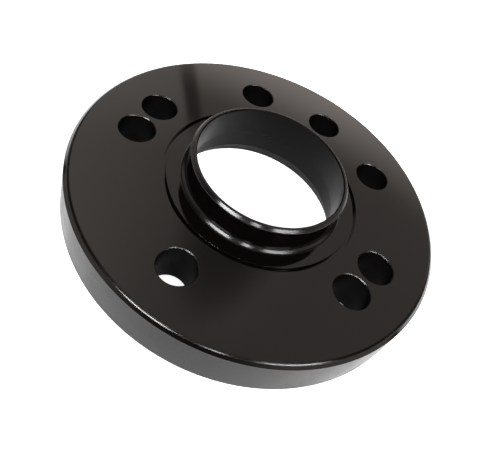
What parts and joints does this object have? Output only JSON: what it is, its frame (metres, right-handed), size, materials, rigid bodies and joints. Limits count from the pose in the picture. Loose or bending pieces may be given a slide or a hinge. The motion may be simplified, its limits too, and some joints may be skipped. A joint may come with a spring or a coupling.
{
  "type": "wheel spacer",
  "caption": "Thick round wheel spacer with a thin centring lip, a counterbore for the hub and plain through holes for wheel bolts.",
  "frame": {"origin": "centre of the hub-side face, on the axis", "axes": "+Z along the axis from the hub side towards the wheel side and the centring lip, -Y through the bolt hole that both patterns share"},
  "size_m": [0.15, 0.15, 0.03],
  "materials": {
    "black_anodised_aluminium": "black anodised, semi-gloss"
  },
  "bodies": {
    "root": {"wheel_spacer": "black_anodised_aluminium"}
  },
  "joints": []
}
